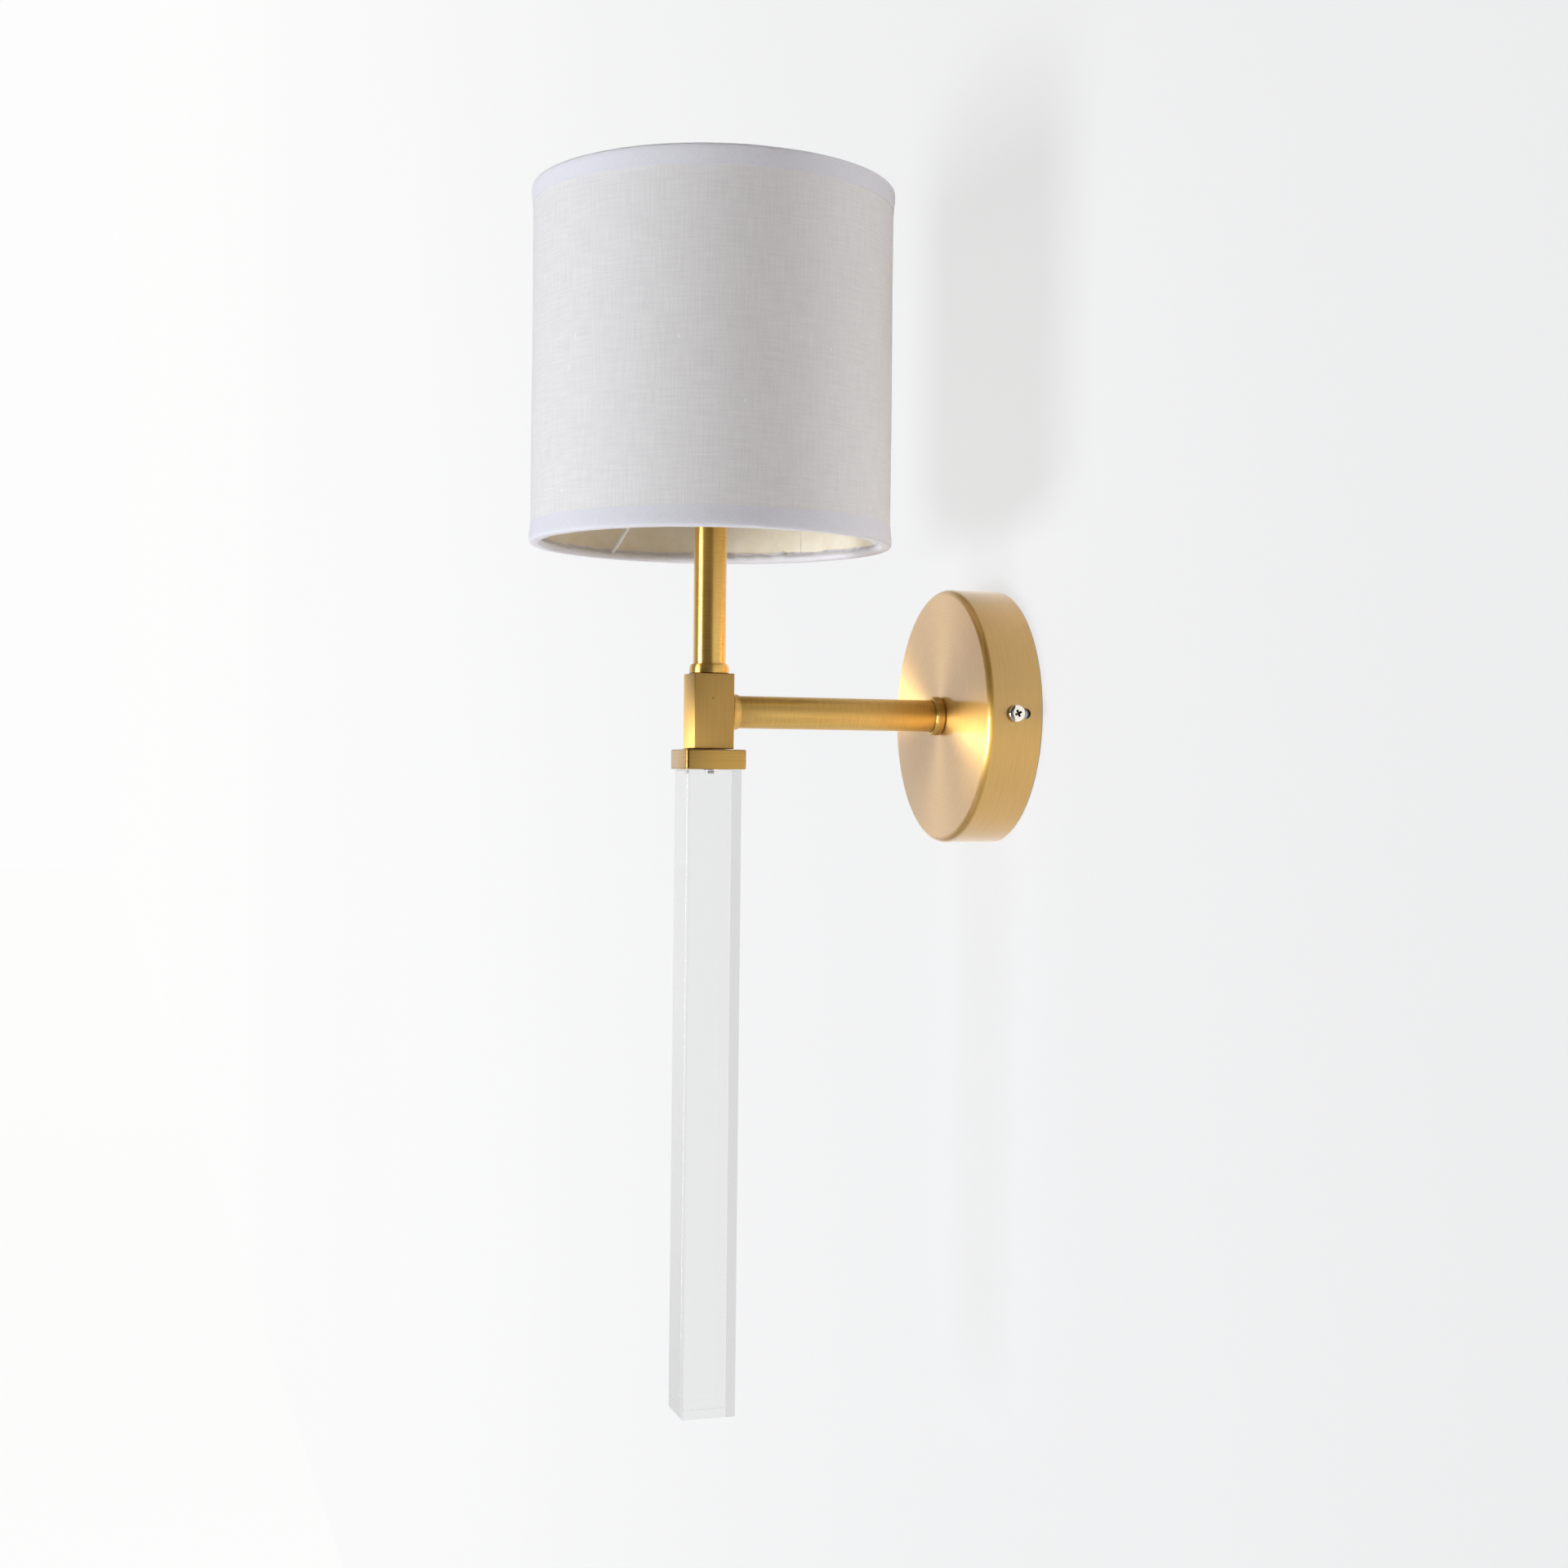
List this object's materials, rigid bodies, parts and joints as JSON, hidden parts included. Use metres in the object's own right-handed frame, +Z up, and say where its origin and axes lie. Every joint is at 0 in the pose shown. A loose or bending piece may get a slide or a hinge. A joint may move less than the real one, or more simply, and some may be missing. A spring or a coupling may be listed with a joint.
{
  "type": "wall sconce",
  "caption": "Wall sconce with a round canopy, a fixed horizontal arm, a corner block with a clear square drop rod, and a stem that carries a drum shade.",
  "frame": {"origin": "centre of the wall bracket's back face, which is also the centre of the canopy's open back, on the wall", "axes": "+Z is up, +Y points into the wall, the room is towards -Y, and the arm runs along -Y"},
  "size_m": [0.1664, 0.2232, 0.5596],
  "materials": {
    "zinc_plated_steel": "satin",
    "canopy_brass": "turned satin, lacquered",
    "brushed_brass": "brushed, lacquered",
    "raw_brass": "machined",
    "nickel": "satin nickel plate",
    "clear_acrylic": "polished clear",
    "phenolic": "moulded",
    "nylon": "moulded",
    "porcelain": "glazed",
    "opal_glass": "opal",
    "black_glass": "gloss",
    "white_enamel": "gloss enamel on steel wire",
    "linen": "plain weave linen",
    "cotton_tape": "bias tape",
    "liner": "styrene sheet",
    "brown_sleeve": "lead insulation",
    "blue_sleeve": "lead insulation",
    "green_sleeve": "lead insulation"
  },
  "bodies": {
    "fixed": {"wall_bracket": "zinc_plated_steel", "canopy": "canopy_brass", "terminal_block": "nylon", "terminal_screw_1a": "nickel", "terminal_screw_1b": "nickel", "terminal_screw_2a": "nickel", "terminal_screw_2b": "nickel", "terminal_screw_3a": "nickel", "terminal_screw_3b": "nickel", "earth_screw": "nickel", "lock_washer": "zinc_plated_steel", "lock_nut": "raw_brass", "canopy_nipple": "raw_brass", "lead_bush": "nylon", "canopy_collar": "brushed_brass", "arm_tube": "brushed_brass", "arm_collar": "brushed_brass", "arm_nipple": "raw_brass", "corner_block": "brushed_brass", "rod_cap": "brushed_brass", "clear_rod": "clear_acrylic", "rod_stud": "zinc_plated_steel", "stem_collar": "brushed_brass", "stem_tube": "brushed_brass", "stem_nipple": "raw_brass", "holder_nipple": "raw_brass", "holder_base": "phenolic", "holder_body": "phenolic", "holder_core": "porcelain", "holder_screw_shell": "nickel", "holder_clamp_right": "raw_brass", "holder_clamp_left": "raw_brass", "live_lead": "brown_sleeve", "neutral_lead": "blue_sleeve", "earth_lead": "green_sleeve"},
    "canopy_screw_right": {"canopy_screw_right": "nickel"},
    "canopy_screw_left": {"canopy_screw_left": "nickel"},
    "holder_contact": {"holder_centre_contact": "raw_brass"},
    "bulb_end": {"bulb_end_contact": "nickel"},
    "bulb": {"bulb_insulator": "black_glass", "bulb_cap": "nickel", "bulb_glass": "opal_glass"},
    "shade": {"shade_spider": "white_enamel", "shade_bottom_ring": "white_enamel", "shade_top_ring": "white_enamel", "shade_fabric": "linen", "shade_liner": "liner", "shade_top_trim": "cotton_tape", "shade_bottom_trim": "cotton_tape"},
    "ring_nut": {"shade_ring_nut": "phenolic"}
  },
  "joints": [
    {"name": "bulb_rise", "type": "slide", "parent": "fixed", "child": "bulb_end", "axis": [0, 0, 1], "range_m": [0, 0.0127]},
    {"name": "bulb_turn", "type": "hinge", "parent": "bulb_end", "child": "bulb", "pos_m": [0, -0.14, 0.15], "axis": [0, 0, 1], "range_deg": [0, 1260]},
    {"name": "contact_press", "type": "slide", "parent": "fixed", "child": "holder_contact", "axis": [0, 0, -1], "range_m": [0, 0.0015], "stiffness_N_per_m": 800},
    {"name": "shade_turn", "type": "hinge", "parent": "fixed", "child": "shade", "pos_m": [0, -0.14, 0.125], "axis": [0, 0, 1], "continuous": true},
    {"name": "ring_nut_turn", "type": "hinge", "parent": "fixed", "child": "ring_nut", "pos_m": [0, -0.14, 0.1285], "axis": [0, 0, 1], "continuous": true},
    {"name": "canopy_screw_right_turn", "type": "hinge", "parent": "fixed", "child": "canopy_screw_right", "pos_m": [0.0603, -0.013, 0], "axis": [1, 0, 0], "continuous": true},
    {"name": "canopy_screw_left_turn", "type": "hinge", "parent": "fixed", "child": "canopy_screw_left", "pos_m": [-0.0603, -0.013, 0], "axis": [-1, 0, 0], "continuous": true}
  ],
  "couplings": [
    {"joint": "bulb_rise", "follows": "bulb_turn", "m_per_rad": 0.00057751}
  ]
}
